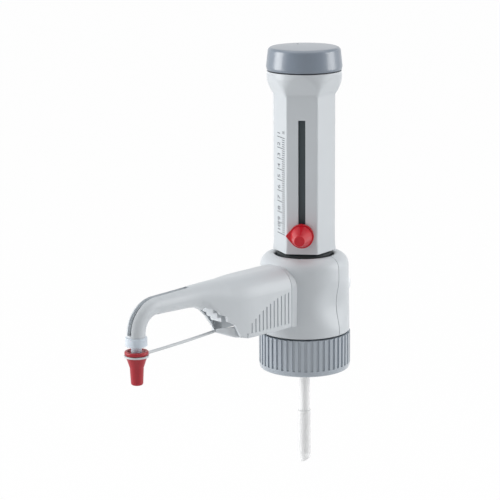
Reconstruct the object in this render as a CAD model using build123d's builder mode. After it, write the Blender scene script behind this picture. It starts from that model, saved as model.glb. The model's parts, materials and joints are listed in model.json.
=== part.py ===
from build123d import *
import math
import os

# Bottle top dispenser. Millimetres, +Z up. The origin is on the piston axis at the mouth of the
# bottle thread, and the spout points along -X. "Reach" is a distance from the axis towards the spout.

os.makedirs("parts", exist_ok=True)

# ---------------------------------------------------------------- clearances
run_gap = 0.3  # between pieces that slide or turn past each other
fit_gap = 0.05  # radial, in a running or assembled fit

# ---------------------------------------------------------------- dose: these set the cylinder
capacity = 10_000.0  # cubic millimetres at full stroke
stroke = 64.0
smallest_dose_share = 0.1  # the pointer's highest setting, as a share of the capacity
scale_divisions = 50  # smallest graduations in a full stroke

# ---------------------------------------------------------------- bottle thread collar
thread_radius = 22.8  # root of the 45 mm bottle thread
thread_depth = 13.5
collar_wall = 4.7  # from the thread's root to the tops of the ribs
collar_height = 22.2
collar_shelf = 3.2
collar_ribs = 48
rib_depth = 0.8
rib_share = 0.55  # width of a rib as a share of the rib pitch
collar_taper = 0.5  # the smooth foot draws in by this much
collar_foot_height = 3.4
collar_edge = 1.2

# ---------------------------------------------------------------- valve block
seal_thickness = 1.5
seal_bore = 15.0
neck_radius = 18.0
neck_top = 28.0
trunk_radius = 15.0
trunk_top = 62.0
port_height = 46.5  # discharge port and vent
port_radius = 2.5
front_boss_radius = 8.2
front_boss_reach = 24.0
rear_boss_radius = 4.5
vent_hole = 1.5
vent_hole_reach = 12.0
chamber_radius = 6.5
chamber_floor = 41.0
chamber_height = 11.0
channel_radius = 3.0

# ---------------------------------------------------------------- filling valve and tube
filling_socket_radius = 9.0
filling_hex = 19.0  # across flats
filling_hex_height = 5.5
filling_stub_radius = 5.6
filling_stub_length = 6.0
filling_ball_radius = 3.5
filling_ball_lift = 1.2
filling_seat_rise = 4.0  # of the ball's seat over the socket's mouth
upper_tube_insertion = 1.0
ball_chamber_gap = 0.9
cage_radius = 6.0
cage_thickness = 2.5
filling_seal_thickness = 0.75
upper_tube_radius = 3.2
tube_wall = 0.9
tube_joint = -28.0  # top end of the sliding lower tube
tube_end = -60.0
upper_tube_setback = 5.0  # of the inner tube's end from the lower end of the outer one
lower_tube_wall = 0.6
end_bevel = 25.0  # degrees, of the cut at the lower end

# ---------------------------------------------------------------- housing of the valve block
cover_gap = 1.0  # above the collar
cover_step = 0.4  # the housing's foot stands in from the collar by this much
cover_taper = 0.7
cover_top = 70.2
cover_shoulder = 7.0
cover_opening = 17.5
opening_edge = 1.0
seam_gap = 0.4
cover_wall = 2.2
seam_reach = -1.5  # the seam lies just behind the axis
dimple_sphere = 40.0
dimple_depth = 2.5
dimple_height = 42.0
dimple_reach = 1.0
face_step = 0.6  # the face that carries the spout housing stands in from the foot by this much
boss_width = 30.0
boss_bottom = 31.5
boss_top = 66.5
boss_corner = 12.0
register_depth = 3.0

# ---------------------------------------------------------------- cylinder
cylinder_seal_thickness = 1.0
glass_wall = 1.5
glass_length = 90.0
jacket_wall = 1.85
jacket_flange_radius = 14.5
jacket_flange = 2.2
coupling_radius = 16.5
coupling_top = 71.8
coupling_skirt = 4.0
coupling_edge = 1.0
stop_collar_wall = 0.65
stop_collar_skirt = 4.0
stop_collar_top = 2.0

# ---------------------------------------------------------------- head: sleeve, guide, piston
scale_turn = 38.0  # the pointer slot is turned this far from the spout
sleeve_flats = 32.0  # across flats of the hexagon
sleeve_wall = 2.0
sleeve_corner = 1.6
sleeve_bottom = 72.4
sleeve_top = 179.3
flare_bottom = 165.4
flare_radius = 21.9
flare_lip = 0.6
flare_sections = 6
flare_swell = 0.5  # 0 is a straight flare, 1 the fullest one
foot_flare = 0.5
foot_flare_height = 6.0
head_recess = 7.3  # depth of the round mouth at the sleeve's top
head_bore = 17.3
slot_width = 4.2
slot_above = 10.8  # over the pointer's highest setting
slot_below = 4.6  # under its lowest setting
guide_wall = 2.1
guide_floor = 0.8
track_width = 7.0
rack_depth = 0.5
head_plate_thickness = 4.0
rod_radius = 4.0
rod_standing = 10.0  # above the head plate
rod_edge = 0.8
piston_bottom = 52.6
piston_length = 11.0
piston_land = 0.35  # the core of the piston is this much smaller than the bore
piston_seal_length = 4.0
piston_seal_start = 3.0
piston_seal_depth = 1.5
calibration_radius = 7.5
calibration_height = 7.5
calibration_teeth = 24
calibration_tooth = 0.5

# ---------------------------------------------------------------- top cap
cap_gap = 0.8
cap_bottom_radius = 22.0
cap_wide_radius = 22.4
cap_wide_rise = 1.9
cap_top_radius = 21.2
cap_height = 13.5
cap_crown = 0.5
cap_edge = 2.5
cap_wall = 1.8
cap_spigot_wall = 1.6
key_hole_radius = 0.9
key_hole_place = (5.4, 10.4)

# ---------------------------------------------------------------- pointer
pointer_height = 83.6
pointer_radius = 7.2
pointer_point = 9.3
pointer_tip_radius = 0.5
pointer_thickness = 2.0
pointer_foot_height = 8.0
knob_radius = 6.5
knob_end_radius = 3.1
knob_end = 31.5  # distance of its end face from the axis
knob_stud_radius = 1.1
knob_edge = 0.5

# ---------------------------------------------------------------- spout housing and arm
arm_height = 60.0
arm_radius = 5.3
arm_bend = 13.7
arm_bore = 3.3
tip_reach = 135.5
arm_end = 44.5
spout_wall = 2.0
cavity_end = 86.0
arm_join = 1.0  # overlap where the arm and the hollow pass into each other
arm_taper = 0.03  # growth of the arm's radius per millimetre towards the block
side_draft = 0.02
taper_start = 56.0  # the sides draw in from here
taper_end = 100.0
rise_start = 62.0  # and the bottom rises
rise_end = 94.0
outer_sections = 20  # of the lofts
hollow_sections = 12
lower_edge = 0.8
spine_slot_width = 3.0
spine_slot_start = 96.0
spine_slot_end = 45.9  # height where it ends below the bend
grip_grooves = 11
grip_pitch = 2.96
grip_start = 29.3
grip_width = 1.0
grip_depth = 0.5
grip_bottom = 34.2
grip_top = 53.0  # of the first groove; the tops fall along the spout in a curve
grip_fall = 3.2
grip_curve = 9.6
tube_rise_start = 50.0
tube_rise_end = 74.0
tube_rise_bend = 20.0
slit_reach = 62.0
slit_width = 0.6
slit_top = 34.5

# the lower outline of each side wall and of the insert between them, as (reach, height)
smooth_outline = [(62.2, boss_bottom), (66.4, 36.4), (72.0, 42.6), (82.0, 50.5), (88.0, 53.6)]
stepped_outline = [
    (65.6, boss_bottom), (70.1, 40.9), (74.9, 43.3), (75.3, 46.3), (79.4, 48.1), (80.8, 50.3), (88.0, 53.6),
]
insert_outline = [
    (84.0, 55.4), (84.0, 51.4), (80.4, 49.6), (80.0, 47.4), (77.2, 46.0), (76.8, 43.6), (73.4, 42.0),
    (73.4, 55.4),
]

# ---------------------------------------------------------------- discharge valve, tube and nozzle
valve_body_radius = 6.4
valve_body_start = 13.2
valve_body_end = 36.0
valve_seat_reach = 17.0
valve_chamber_radius = 3.3
discharge_ball_radius = 2.8
spring_radius = 2.2
spring_wire = 0.3
spring_turns = 5
tube_radius = 3.0
tube_bore = 1.5
tube_flange_radius = 5.6
tube_flange = 1.5
union_flats = 16.0
union_start = 30.0
union_end_wall = 2.5
nozzle_collar_radius = 6.15
nozzle_collar_length = 5.1
nozzle_socket = 3.5
nozzle_radius = 3.0
nozzle_end = 22.0
nozzle_bore = 1.25
nozzle_edge = 0.4

# ---------------------------------------------------------------- spout cap and its strap
spout_cap_top = 36.5
spout_cap_bottom = 16.9
spout_cap_rim = 6.75
spout_cap_rim_height = 2.1
spout_cap_groove = 1.4
spout_cap_neck = 5.9
spout_cap_waist = 3.95
spout_cap_waist_height = 27.0
spout_cap_foot = 3.4
spout_cap_mouth = 5.2
spout_cap_mouth_depth = 3.5
spout_cap_shoulder = 0.9  # the cone ends this far inside the rim
spout_cap_shoulder_height = 0.3
spout_cap_lip = 0.4
spout_cap_foot_edge = 1.2
spout_cap_rim_edge = 0.7
strap_thickness = 1.0
strap_ring_wall = 1.0
strap_bar = 0.9  # radius
clip_start = 60.0
clip_end = 72.5
clip_bottom = 31.0
clip_thickness = 1.5
clip_lift = 4.5
clip_bulge = 1.0

# ---------------------------------------------------------------- vent cap
vent_cap_radius = 7.0
vent_cap_length = 7.0
vent_cap_floor = 2.0
vent_cap_edge = 1.2
vent_seal_thickness = 0.8


# ================================================================ derived sizes
bore_radius = math.sqrt(capacity / (math.pi * stroke))
glass_radius = bore_radius + glass_wall
jacket_bore = glass_radius + 3 * fit_gap
jacket_radius = jacket_bore + jacket_wall

collar_radius = thread_radius + collar_wall
seal_bottom = thread_depth
foot_bottom = seal_bottom + seal_thickness
shelf_bottom = collar_height - collar_shelf
foot_top = shelf_bottom - run_gap
foot_radius = thread_radius - run_gap

# the filling valve's ball rests on a 45 degree seat and lifts to its cage
seat_bore = upper_tube_radius - tube_wall
seat_height = foot_bottom + filling_seat_rise
filling_ball_height = seat_height - seat_bore + filling_ball_radius * math.sqrt(2) + fit_gap
cage_bottom = filling_ball_height + filling_ball_radius + filling_ball_lift + run_gap
filling_body_top = cage_bottom + cage_thickness
filling_roof = filling_body_top + filling_seal_thickness
cover_bottom = collar_height + cover_gap
cover_foot_radius = collar_radius - cover_step
cover_radius = cover_foot_radius - cover_taper
spout_face = cover_foot_radius - face_step  # reach of the face that carries the spout housing
vent_cap_start = cover_foot_radius + run_gap
vent_seal_end = vent_cap_start + vent_cap_length - vent_cap_floor
rear_boss_reach = vent_seal_end - vent_seal_thickness - run_gap

glass_bottom = chamber_floor + chamber_height
seat_bottom = glass_bottom - cylinder_seal_thickness
glass_top = glass_bottom + glass_length
flange_top = trunk_top + jacket_flange

stop_collar_radius = jacket_radius + fit_gap + stop_collar_wall
stop_collar_bottom = glass_top - stop_collar_skirt

sleeve_face = sleeve_flats / 2
sleeve_bore = sleeve_face - sleeve_wall
guide_radius = sleeve_bore - run_gap
guide_bore = guide_radius - guide_wall
track_floor = guide_bore + guide_floor
lift_stop_top = stop_collar_bottom - stroke
head_ledge = sleeve_top - head_recess
plate_top = head_ledge + head_plate_thickness
rod_top = plate_top + rod_standing
cap_bottom = sleeve_top + cap_gap
cap_top = cap_bottom + cap_height
pointer_travel = stroke * (1 - smallest_dose_share)
slot_bottom = pointer_height - slot_below
slot_top = pointer_height + pointer_travel + slot_above
scale_pitch = stroke / scale_divisions

arm_start = tip_reach - arm_bend
arm_bore_wall = arm_radius - arm_bore
tube_end_height = arm_end - nozzle_socket


# ================================================================ planes and helpers
def spout_plane(reach, height=0.0):
    """A plane across the spout: local x points to -Y, local y up, and its normal along the spout."""
    return Plane(origin=(-reach, 0, height), x_dir=(0, -1, 0), z_dir=(-1, 0, 0))


def rear_plane(reach, height=0.0):
    """The same on the back of the block, with its normal along +X."""
    return Plane(origin=(reach, 0, height), x_dir=(0, 1, 0), z_dir=(1, 0, 0))


def head_plane(height):
    """A level plane of the head, turned so that its local -x points through the pointer slot."""
    return Plane.XY.rotated((0, 0, scale_turn)).offset(height)


slot_angle = math.radians(scale_turn)
slot_direction = (-math.cos(slot_angle), -math.sin(slot_angle), 0)
slot_right = (math.sin(slot_angle), -math.cos(slot_angle), 0)


def slot_plane(distance, height):
    """A plane parallel to the slot's facet: local x to the right seen from outside, local y up."""
    origin = (slot_direction[0] * distance, slot_direction[1] * distance, height)
    return Plane(origin=origin, x_dir=slot_right, z_dir=slot_direction)


def disc(radius, low, high, plane=Plane.XY, mode=Mode.ADD):
    """A cylinder between two heights over a plane, added to or cut from the part being built."""
    with BuildSketch(plane.offset(low)) as outline:
        Circle(radius)
    extrude(outline.sketch, amount=high - low, mode=mode)


def prism(flats, low, high, plane=Plane.XY, mode=Mode.ADD, corner=0.0):
    """A hexagonal bar whose flats face along the plane's x axis."""
    with BuildSketch(plane.offset(low)) as outline:
        RegularPolygon(flats / 2, 6, major_radius=False, rotation=30)
        if corner > 0:
            fillet(outline.vertices(), corner)
    extrude(outline.sketch, amount=high - low, mode=mode)


def turned(points, axis=Axis.Z, mode=Mode.ADD):
    """A turned form: points are (radius, height), closed and revolved about a vertical axis."""
    shift = axis.position.X
    with BuildSketch(Plane.XZ) as section:
        with BuildLine():
            Polyline(*[(shift + radius, height) for radius, height in points], close=True)
        make_face()
    revolve(section.sketch, axis=axis, mode=mode)


def save(piece, name):
    piece.part.label = name
    export_step(piece.part, f"parts/{name}.step")


# ================================================================ bottle thread collar
with BuildPart() as thread_collar:
    turned([
        (thread_radius, 0),
        (collar_radius - collar_taper, 0),
        (collar_radius, collar_foot_height),
        (collar_radius, collar_height),
        (neck_radius + run_gap, collar_height),
        (neck_radius + run_gap, shelf_bottom),
        (thread_radius, shelf_bottom),
    ])
    foot_edges = thread_collar.edges().filter_by(GeomType.CIRCLE).group_by(Axis.Z)[0]
    fillet(foot_edges.sort_by(SortBy.RADIUS)[-1], collar_edge)
    rib_pitch = 2 * math.pi * collar_radius / collar_ribs
    with BuildSketch(Plane.XY.offset(collar_foot_height)):
        with PolarLocations(collar_radius, collar_ribs):
            Rectangle(2 * rib_depth, rib_pitch * (1 - rib_share))
    extrude(amount=collar_height - collar_foot_height, mode=Mode.SUBTRACT)
save(thread_collar, "thread_collar")

with BuildPart() as bottle_seal:
    disc(foot_radius - run_gap, seal_bottom, foot_bottom)
    disc(seal_bore, seal_bottom, foot_bottom, mode=Mode.SUBTRACT)
save(bottle_seal, "bottle_seal")


# ================================================================ valve block
with BuildPart() as valve_block:
    disc(foot_radius, foot_bottom, foot_top)
    disc(neck_radius, foot_top, neck_top)
    disc(trunk_radius, neck_top, trunk_top)
    disc(front_boss_radius, 0, front_boss_reach, spout_plane(0, port_height))
    disc(rear_boss_radius, 0, rear_boss_reach, rear_plane(0, port_height))
    # passages: filling socket, riser, chamber, cylinder seat, discharge socket and vent
    disc(filling_socket_radius, foot_bottom, filling_roof, mode=Mode.SUBTRACT)
    disc(channel_radius, filling_roof, chamber_floor, mode=Mode.SUBTRACT)
    disc(chamber_radius, chamber_floor, seat_bottom, mode=Mode.SUBTRACT)
    disc(glass_radius + fit_gap, seat_bottom, trunk_top, mode=Mode.SUBTRACT)
    disc(port_radius, 0, valve_body_start, spout_plane(0, port_height), mode=Mode.SUBTRACT)
    disc(
        valve_body_radius + fit_gap, valve_body_start, front_boss_reach,
        spout_plane(0, port_height), mode=Mode.SUBTRACT,
    )
    disc(vent_hole, vent_hole_reach, rear_boss_reach, rear_plane(0, port_height), mode=Mode.SUBTRACT)
    with BuildSketch(Plane.XY.offset(foot_bottom)):
        with Locations((vent_hole_reach, 0)):
            Circle(vent_hole)
    extrude(amount=port_height - foot_bottom, mode=Mode.SUBTRACT)
save(valve_block, "valve_block")


# ================================================================ filling valve and tube
filling_hex_bottom = foot_bottom - filling_hex_height
filling_stub_bottom = filling_hex_bottom - filling_stub_length
upper_tube_top = foot_bottom + upper_tube_insertion
ball_chamber_radius = filling_ball_radius + ball_chamber_gap

with BuildPart() as filling_valve_body:
    disc(filling_socket_radius - fit_gap, foot_bottom, filling_body_top)
    prism(filling_hex, filling_hex_bottom, foot_bottom)
    disc(filling_stub_radius, filling_stub_bottom, filling_hex_bottom)
    disc(upper_tube_radius + fit_gap, filling_stub_bottom, upper_tube_top, mode=Mode.SUBTRACT)
    disc(seat_bore, upper_tube_top, seat_height, mode=Mode.SUBTRACT)
    turned([
        (0, seat_height),
        (seat_bore, seat_height),
        (ball_chamber_radius, seat_height + ball_chamber_radius - seat_bore),
        (ball_chamber_radius, cage_bottom),
        (0, cage_bottom),
    ], mode=Mode.SUBTRACT)
    disc(cage_radius + fit_gap, cage_bottom, filling_body_top, mode=Mode.SUBTRACT)
save(filling_valve_body, "filling_valve_body")

with BuildPart() as filling_valve_cage:
    disc(cage_radius, cage_bottom, filling_body_top)
    with BuildSketch(Plane.XY.offset(cage_bottom)):
        with PolarLocations(cage_radius / 2, 3):
            Circle(cage_radius / 4)
    extrude(amount=cage_thickness, mode=Mode.SUBTRACT)
save(filling_valve_cage, "filling_valve_cage")

with BuildPart() as filling_valve_seal:
    disc(filling_socket_radius - 2 * fit_gap, filling_body_top, filling_roof)
    disc(cage_radius, filling_body_top, filling_roof, mode=Mode.SUBTRACT)
save(filling_valve_seal, "filling_valve_seal")

with BuildPart(Plane.XY.offset(filling_ball_height)) as filling_ball:
    Sphere(filling_ball_radius)
save(filling_ball, "filling_ball")

with BuildPart() as filling_tube_upper:
    upper_tube_end = tube_end + upper_tube_setback
    disc(upper_tube_radius, upper_tube_end, upper_tube_top)
    disc(upper_tube_radius - tube_wall, upper_tube_end, upper_tube_top, mode=Mode.SUBTRACT)
save(filling_tube_upper, "filling_tube_upper")

lower_tube_bore = upper_tube_radius + fit_gap
lower_tube_radius = lower_tube_bore + lower_tube_wall
with BuildPart() as filling_tube_lower:
    disc(lower_tube_radius, tube_end, tube_joint)
    disc(lower_tube_bore, tube_end, tube_joint, mode=Mode.SUBTRACT)
    # the end is cut at an angle, so that it can't seal itself against the bottle's floor
    bevel_rise = 2 * lower_tube_radius * math.tan(math.radians(end_bevel))
    with BuildSketch(Plane.XZ):
        with BuildLine():
            Polyline(
                (-lower_tube_radius, tube_end),
                (lower_tube_radius, tube_end),
                (lower_tube_radius, tube_end + bevel_rise),
                close=True,
            )
        make_face()
    extrude(amount=lower_tube_radius, both=True, mode=Mode.SUBTRACT)
save(filling_tube_lower, "filling_tube_lower")


# ================================================================ housing of the valve block
def cover_profile(inset):
    """Half section of the housing's outer form, taken in by a wall thickness."""
    low, high = cover_bottom + inset, cover_top - inset
    return [
        (0, low),
        (cover_foot_radius - inset, low),
        (cover_radius - inset, high),
        (0, high),
    ]


def cover_form(inset):
    """The housing's outer form, or its hollow when taken in by the wall: with finger dimples."""
    with BuildPart(mode=Mode.PRIVATE) as form:
        turned(cover_profile(inset))
        shoulder = form.edges().filter_by(GeomType.CIRCLE).sort_by(Axis.Z)[-1]
        fillet(shoulder, cover_shoulder - inset)
        if not inset:
            disc(cover_opening, trunk_top, cover_top, mode=Mode.SUBTRACT)
            top_edges = form.edges().filter_by(GeomType.CIRCLE).group_by(Axis.Z)[-1]
            fillet(top_edges.sort_by(SortBy.RADIUS)[0], opening_edge)
        depth_centre = cover_radius + dimple_sphere - dimple_depth
        for side in (-1, 1):
            with Locations((-dimple_reach, side * depth_centre, dimple_height)):
                Sphere(dimple_sphere + inset, mode=Mode.SUBTRACT)
    return form.part


def boss_outline(inset):
    """The arched outline that the spout's face and the spout housing share."""
    width = boss_width - 2 * inset
    top = boss_top - inset
    with Locations((0, (boss_bottom + top) / 2)):
        Rectangle(width, top - boss_bottom)


cover_outside = cover_form(0.0)
cover_hollow = cover_form(cover_wall)
half_span = 2 * cover_radius

with BuildPart() as front_cover:
    add(cover_outside)
    with BuildSketch(spout_plane(0)) as arch:
        boss_outline(0.0)
        fillet(arch.vertices().group_by(Axis.Y)[-1], boss_corner)
    extrude(amount=spout_face)
    # the round front is cut flat where the spout housing stands
    extrude(arch.sketch.moved(Location((-spout_face, 0, 0))), amount=cover_shoulder, mode=Mode.SUBTRACT)
    with BuildSketch(spout_plane(spout_face)) as register:
        boss_outline(spout_wall + 3 * fit_gap)
        fillet(register.vertices().group_by(Axis.Y)[-1], boss_corner - spout_wall)
    extrude(amount=register_depth)
    # the register is a rim, so that the valve and its nut pass through it
    with BuildSketch(spout_plane(spout_face)) as register_hollow:
        boss_outline(2 * spout_wall)
        fillet(register_hollow.vertices().group_by(Axis.Y)[-1], boss_corner - 2 * spout_wall)
    extrude(amount=register_depth, mode=Mode.SUBTRACT)
    add(cover_hollow, mode=Mode.SUBTRACT)
    disc(front_boss_radius + fit_gap, 0, spout_face, spout_plane(0, port_height), mode=Mode.SUBTRACT)
    disc(neck_radius + fit_gap, cover_bottom, neck_top, mode=Mode.SUBTRACT)
    with Locations(((half_span / 2 - seam_reach), 0, cover_top / 2)):
        Box(half_span, 2 * half_span, 2 * cover_top, mode=Mode.SUBTRACT)
save(front_cover, "front_cover")

with BuildPart() as rear_cover:
    add(cover_outside)
    add(cover_hollow, mode=Mode.SUBTRACT)
    disc(rear_boss_radius + fit_gap, 0, half_span, rear_plane(0, port_height), mode=Mode.SUBTRACT)
    disc(neck_radius + fit_gap, cover_bottom, neck_top, mode=Mode.SUBTRACT)
    with Locations(((-half_span / 2 - seam_reach + seam_gap), 0, cover_top / 2)):
        Box(half_span, 2 * half_span, 2 * cover_top, mode=Mode.SUBTRACT)
save(rear_cover, "rear_cover")

with BuildPart() as vent_cap:
    disc(vent_cap_radius, vent_cap_start, vent_cap_start + vent_cap_length, rear_plane(0, port_height))
    fillet(vent_cap.edges().filter_by(GeomType.CIRCLE).sort_by(Axis.X)[-1], vent_cap_edge)
    disc(
        rear_boss_radius + fit_gap, vent_cap_start, vent_seal_end,
        rear_plane(0, port_height), mode=Mode.SUBTRACT,
    )
save(vent_cap, "vent_cap")

with BuildPart() as vent_seal:
    disc(rear_boss_radius, vent_seal_end - vent_seal_thickness, vent_seal_end, rear_plane(0, port_height))
save(vent_seal, "vent_seal")


# ================================================================ cylinder
with BuildPart() as cylinder_seal:
    disc(glass_radius, seat_bottom, glass_bottom)
    disc(chamber_radius, seat_bottom, glass_bottom, mode=Mode.SUBTRACT)
save(cylinder_seal, "cylinder_seal")

with BuildPart() as glass_cylinder:
    disc(glass_radius, glass_bottom, glass_top)
    disc(bore_radius, glass_bottom, glass_top, mode=Mode.SUBTRACT)
save(glass_cylinder, "glass_cylinder")

with BuildPart() as cylinder_jacket:
    disc(jacket_flange_radius, trunk_top, flange_top)
    disc(jacket_radius, flange_top, glass_top)
    disc(jacket_bore, trunk_top, glass_top, mode=Mode.SUBTRACT)
save(cylinder_jacket, "cylinder_jacket")

with BuildPart() as coupling_nut:
    disc(coupling_radius, trunk_top - coupling_skirt, coupling_top)
    chamfer(coupling_nut.edges().filter_by(GeomType.CIRCLE).sort_by(Axis.Z)[-1], coupling_edge)
    disc(trunk_radius + fit_gap, trunk_top - coupling_skirt, flange_top, mode=Mode.SUBTRACT)
    disc(jacket_radius + run_gap, flange_top, coupling_top, mode=Mode.SUBTRACT)
save(coupling_nut, "coupling_nut")

with BuildPart() as stop_collar:
    disc(stop_collar_radius, stop_collar_bottom, glass_top + stop_collar_top)
    disc(jacket_radius + fit_gap, stop_collar_bottom, glass_top, mode=Mode.SUBTRACT)
    disc(bore_radius + run_gap, glass_top, glass_top + stop_collar_top, mode=Mode.SUBTRACT)
save(stop_collar, "stop_collar")


# ================================================================ head
def flare_section(share):
    """A level section of the sleeve's flare: the hexagon at share 0, all but a circle at share 1."""
    growth = math.sin(share * math.pi / 2) * flare_swell + share * (1 - flare_swell)
    face = sleeve_face + (flare_radius - fit_gap - sleeve_face) * growth
    rounding = sleeve_corner + (flare_radius - 2 * fit_gap - sleeve_corner) * share ** 2
    height = flare_bottom + (sleeve_top - flare_lip - flare_bottom) * share
    with BuildSketch(head_plane(height)) as section:
        RegularPolygon(face, 6, major_radius=False, rotation=30)
        fillet(section.vertices(), min(rounding, face - fit_gap))
    return section.sketch


with BuildPart() as housing_sleeve:
    # hexagonal tube, with its foot turned out a little and its top flaring into a round
    with BuildSketch(head_plane(sleeve_bottom)) as foot:
        RegularPolygon(sleeve_face + foot_flare, 6, major_radius=False, rotation=30)
        fillet(foot.vertices(), sleeve_corner)
    with BuildSketch(head_plane(sleeve_bottom + foot_flare_height)) as foot_end:
        RegularPolygon(sleeve_face, 6, major_radius=False, rotation=30)
        fillet(foot_end.vertices(), sleeve_corner)
    loft(ruled=True)
    prism(sleeve_flats, sleeve_bottom + foot_flare_height, flare_bottom, head_plane(0), corner=sleeve_corner)
    loft([flare_section(index / (flare_sections - 1)) for index in range(flare_sections)], ruled=True)
    disc(flare_radius, sleeve_top - flare_lip, sleeve_top)
    prism(2 * sleeve_bore, sleeve_bottom, head_ledge, head_plane(0), mode=Mode.SUBTRACT)
    disc(head_bore, head_ledge, sleeve_top, mode=Mode.SUBTRACT)
    with BuildSketch(slot_plane(0, (slot_top + slot_bottom) / 2)):
        Rectangle(slot_width, slot_top - slot_bottom)
    extrude(amount=2 * sleeve_face, mode=Mode.SUBTRACT)
save(housing_sleeve, "housing_sleeve")

with BuildPart() as guide_tube:
    lift_stop_bottom = sleeve_bottom + run_gap
    disc(guide_radius, lift_stop_bottom, head_ledge)
    disc(guide_bore, lift_stop_top, head_ledge, mode=Mode.SUBTRACT)
    # the lip at the foot meets the stop collar at the end of the stroke
    disc(jacket_radius + run_gap, lift_stop_bottom, lift_stop_top, mode=Mode.SUBTRACT)
    # the pointer's track, with a rack along both sides
    track_low, track_high = slot_bottom - run_gap, slot_top + run_gap
    with BuildSketch(slot_plane(track_floor, (track_low + track_high) / 2)):
        Rectangle(track_width, track_high - track_low)
    extrude(amount=guide_radius, mode=Mode.SUBTRACT)
    notch_count = int((track_high - track_low) / scale_pitch) - 1
    with BuildSketch(slot_plane(track_floor, pointer_height + pointer_travel / 2)):
        with GridLocations(track_width, scale_pitch, 2, notch_count):
            Rectangle(2 * rack_depth, scale_pitch / 2)
    extrude(amount=guide_radius, mode=Mode.SUBTRACT)
save(guide_tube, "guide_tube")

with BuildPart() as head_plate:
    disc(head_bore - fit_gap, head_ledge, plate_top)
    disc(rod_radius + run_gap, head_ledge, plate_top, mode=Mode.SUBTRACT)
save(head_plate, "head_plate")

piston_top = piston_bottom + piston_length
with BuildPart() as piston_rod:
    disc(rod_radius, piston_top, rod_top)
    chamfer(piston_rod.edges().filter_by(GeomType.CIRCLE).sort_by(Axis.Z)[-1], rod_edge)
    disc(rod_radius / 2, piston_bottom + piston_length / 2, piston_top)
save(piston_rod, "piston_rod")

with BuildPart() as piston_head:
    disc(bore_radius - piston_land, piston_bottom, piston_top)
    groove_low = piston_bottom + piston_seal_start
    groove_high = groove_low + piston_seal_length
    turned([
        (bore_radius - piston_seal_depth, groove_low),
        (bore_radius, groove_low),
        (bore_radius, groove_high),
        (bore_radius - piston_seal_depth, groove_high),
    ], mode=Mode.SUBTRACT)
    disc(rod_radius / 2 + fit_gap, piston_bottom + piston_length / 2, piston_top, mode=Mode.SUBTRACT)
save(piston_head, "piston_head")

with BuildPart() as piston_seal:
    disc(bore_radius - fit_gap, groove_low, groove_high)
    disc(bore_radius - piston_seal_depth + fit_gap, groove_low, groove_high, mode=Mode.SUBTRACT)
save(piston_seal, "piston_seal")

with BuildPart() as calibration_nut:
    disc(calibration_radius, plate_top, plate_top + calibration_height)
    with BuildSketch(Plane.XY.offset(plate_top)):
        with PolarLocations(calibration_radius, calibration_teeth):
            Rectangle(2 * calibration_tooth, math.pi * calibration_radius / calibration_teeth)
    extrude(amount=calibration_height, mode=Mode.SUBTRACT)
    disc(rod_radius + fit_gap, plate_top, plate_top + calibration_height, mode=Mode.SUBTRACT)
save(calibration_nut, "calibration_nut")

with BuildPart() as top_cap:
    with BuildSketch(Plane.XZ) as cap_section:
        with BuildLine():
            cap_wide = (cap_wide_radius, cap_bottom + cap_wide_rise)
            cap_corner = (cap_top_radius, cap_top - cap_crown)
            Polyline((0, cap_top), (0, cap_bottom), (cap_bottom_radius, cap_bottom), cap_wide, cap_corner)
            ThreePointArc(cap_corner, (cap_top_radius / 2, cap_top - cap_crown / 4), (0, cap_top))
        make_face()
        corner = cap_section.vertices().filter_by(lambda point: abs(point.X - cap_top_radius) < 0.01)
        fillet(corner, cap_edge)
    revolve(axis=Axis.Z)
    disc(head_bore - run_gap, plate_top + run_gap, cap_bottom)
    hollow_radius = head_bore - run_gap - cap_spigot_wall
    disc(hollow_radius, plate_top + run_gap, cap_top - cap_crown - cap_wall, mode=Mode.SUBTRACT)
    with BuildSketch(Plane.XY.offset(cap_top - 2 * cap_wall - cap_crown)):
        with Locations(key_hole_place):
            Circle(key_hole_radius)
    extrude(amount=4 * cap_wall, mode=Mode.SUBTRACT)
save(top_cap, "top_cap")


# ================================================================ pointer
pointer_face = sleeve_face + run_gap
plate_face = pointer_face + pointer_thickness
foot_inner = track_floor + run_gap

with BuildPart() as pointer:
    with BuildSketch(slot_plane(foot_inner, pointer_height)):
        Rectangle(track_width - 2 * run_gap, pointer_foot_height)
    extrude(amount=guide_radius - foot_inner)
    with BuildSketch(slot_plane(guide_radius, pointer_height)):
        Rectangle(slot_width - 2 * run_gap, pointer_foot_height)
    extrude(amount=pointer_face - guide_radius)
    with BuildSketch(slot_plane(pointer_face, pointer_height)):
        Circle(pointer_radius)
        with Locations((-pointer_point + pointer_tip_radius, 0)):
            Circle(pointer_tip_radius)
        make_hull()
    extrude(amount=pointer_thickness)
    disc(
        knob_stud_radius + run_gap, foot_inner, plate_face,
        slot_plane(0, pointer_height), mode=Mode.SUBTRACT,
    )
save(pointer, "pointer")

with BuildPart() as pointer_knob:
    knob_base = plate_face + run_gap
    with BuildSketch(slot_plane(knob_base, pointer_height)):
        Circle(knob_radius)
    with BuildSketch(slot_plane(knob_end, pointer_height)):
        Circle(knob_end_radius)
    loft()
    fillet(pointer_knob.edges().filter_by(GeomType.CIRCLE), knob_edge)
    disc(knob_stud_radius, foot_inner + run_gap, knob_base, slot_plane(0, pointer_height))
save(pointer_knob, "pointer_knob")


# ================================================================ spout housing and arm

def eased(value, start, end):
    """0 up to start, 1 from end on, and an S-curve between them."""
    share = min(max((value - start) / (end - start), 0.0), 1.0)
    return share * share * (3 - 2 * share)


def arm_radius_at(reach):
    """The arm grows a little stouter from the bend towards the block."""
    return arm_radius + arm_taper * (arm_start - reach)


def half_width_at(reach):
    """Half the spout's width: straight sides that draw in to the arm."""
    side = boss_width / 2 - side_draft * (reach - spout_face)
    arm = arm_radius_at(reach)
    return side + (arm - side) * eased(reach, taper_start, taper_end)


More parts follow.
